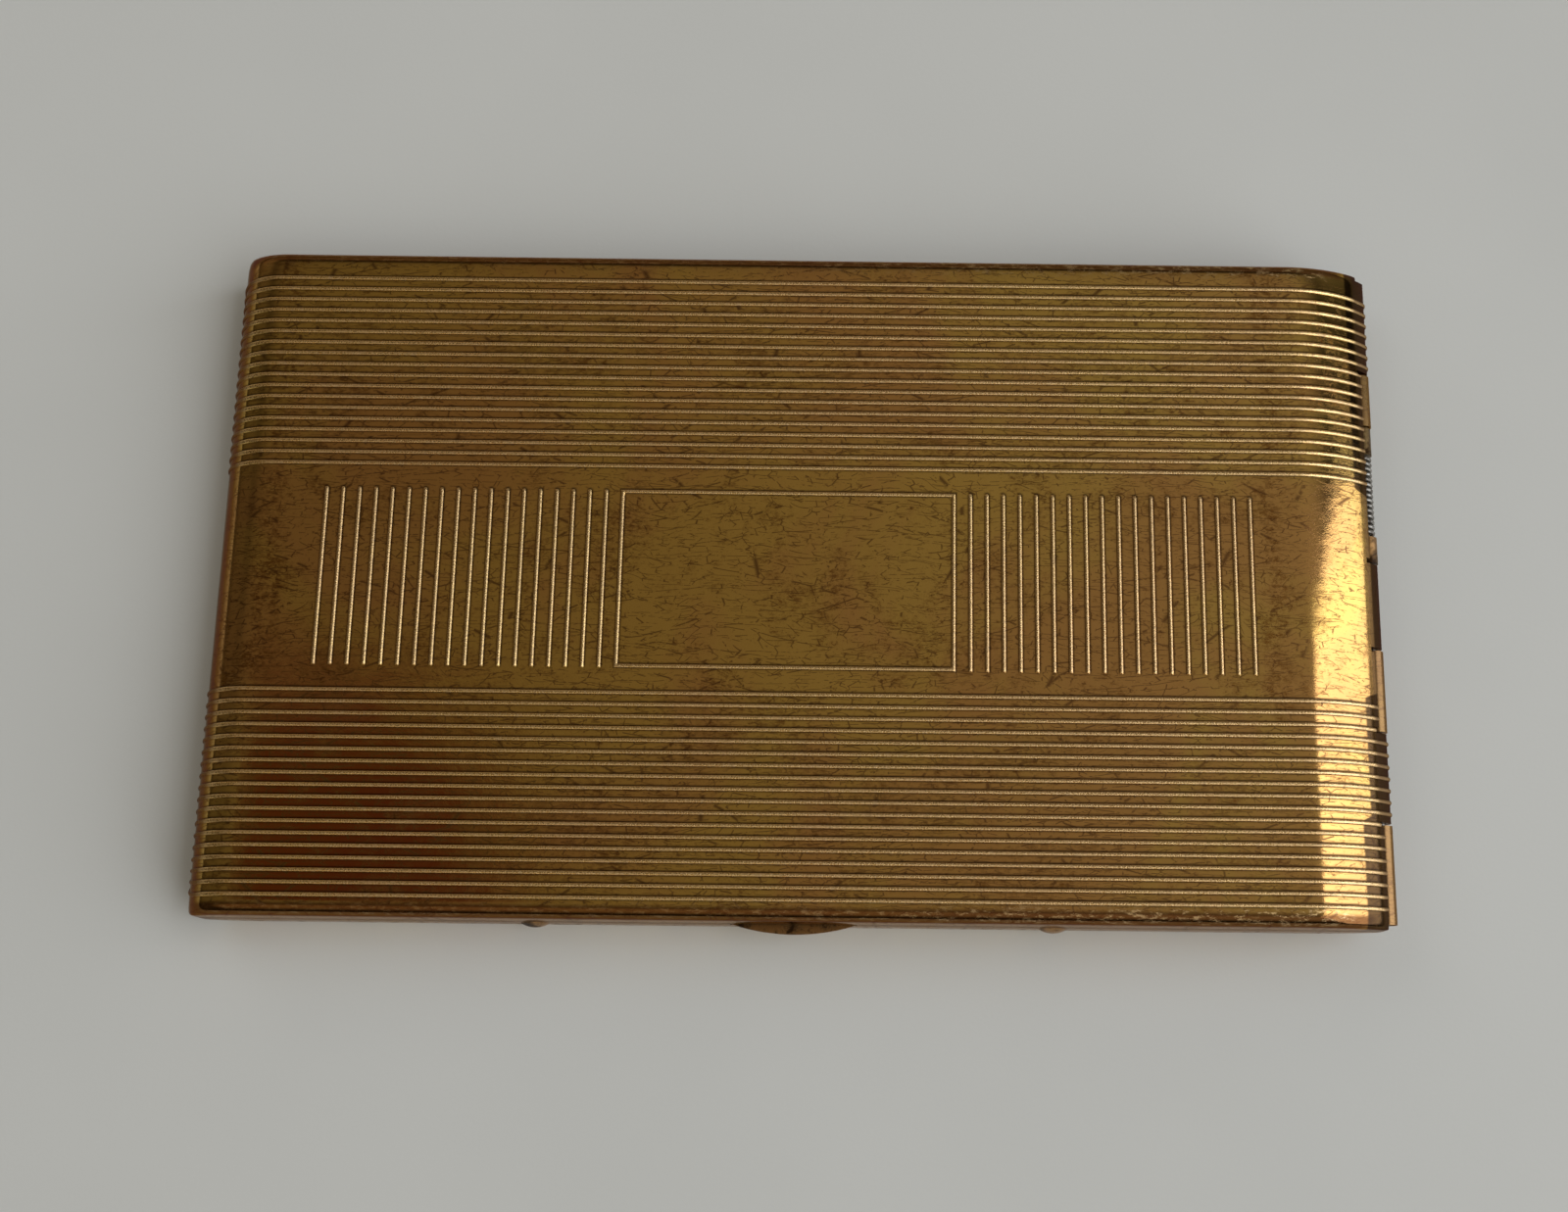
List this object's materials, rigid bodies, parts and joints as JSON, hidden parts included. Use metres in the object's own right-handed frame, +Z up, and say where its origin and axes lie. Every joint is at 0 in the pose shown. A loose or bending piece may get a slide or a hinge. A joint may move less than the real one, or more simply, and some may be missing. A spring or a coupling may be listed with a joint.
{
  "type": "card case",
  "caption": "Slim hinged metal case for business cards, with a ribbed lid, a spring hinge on one short end and a thumb catch on a long edge.",
  "frame": {"origin": "centre of the flat underside, midway along the overall length and between the side walls", "axes": "+X towards the hinge, +Y towards the back edge away from the thumb catch, +Z up through the lid"},
  "size_m": [0.1001, 0.0587, 0.0077],
  "materials": {
    "gilt_brass": "worn gilt brass with brown tarnish",
    "dark_brass": "darkened brass",
    "steel_wire": "dull spring wire",
    "spring_strip": "dull spring strip"
  },
  "bodies": {
    "base": {"base_shell": "gilt_brass", "hinge_pin": "steel_wire", "hinge_spring": "steel_wire", "spring_collar_back": "dark_brass", "spring_collar_front": "gilt_brass", "latch_leaf": "spring_strip", "latch_rivets": "gilt_brass", "retainer_pin": "steel_wire", "retainer_ears": "dark_brass"},
    "lid": {"lid_shell": "gilt_brass", "lid_strike": "dark_brass"},
    "catch": {"thumb_catch": "gilt_brass"},
    "retainer": {"card_retainer": "gilt_brass"}
  },
  "joints": [
    {"name": "lid_hinge", "type": "hinge", "parent": "base", "child": "lid", "pos_m": [0.0491, 0, 0.0038], "axis": [0, 1, 0], "range_deg": [0, 130], "deforming": ["hinge_spring"]},
    {"name": "catch_push", "type": "slide", "parent": "base", "child": "catch", "axis": [0, 1, 0], "range_m": [0, 0.0006], "stiffness_N_per_m": 1500, "springref_m": -0.0005, "deforming": ["latch_leaf"]},
    {"name": "retainer_pivot", "type": "hinge", "parent": "base", "child": "retainer", "pos_m": [0.043, 0, 0.006], "axis": [0, 1, 0], "range_deg": [-6, 0]}
  ]
}
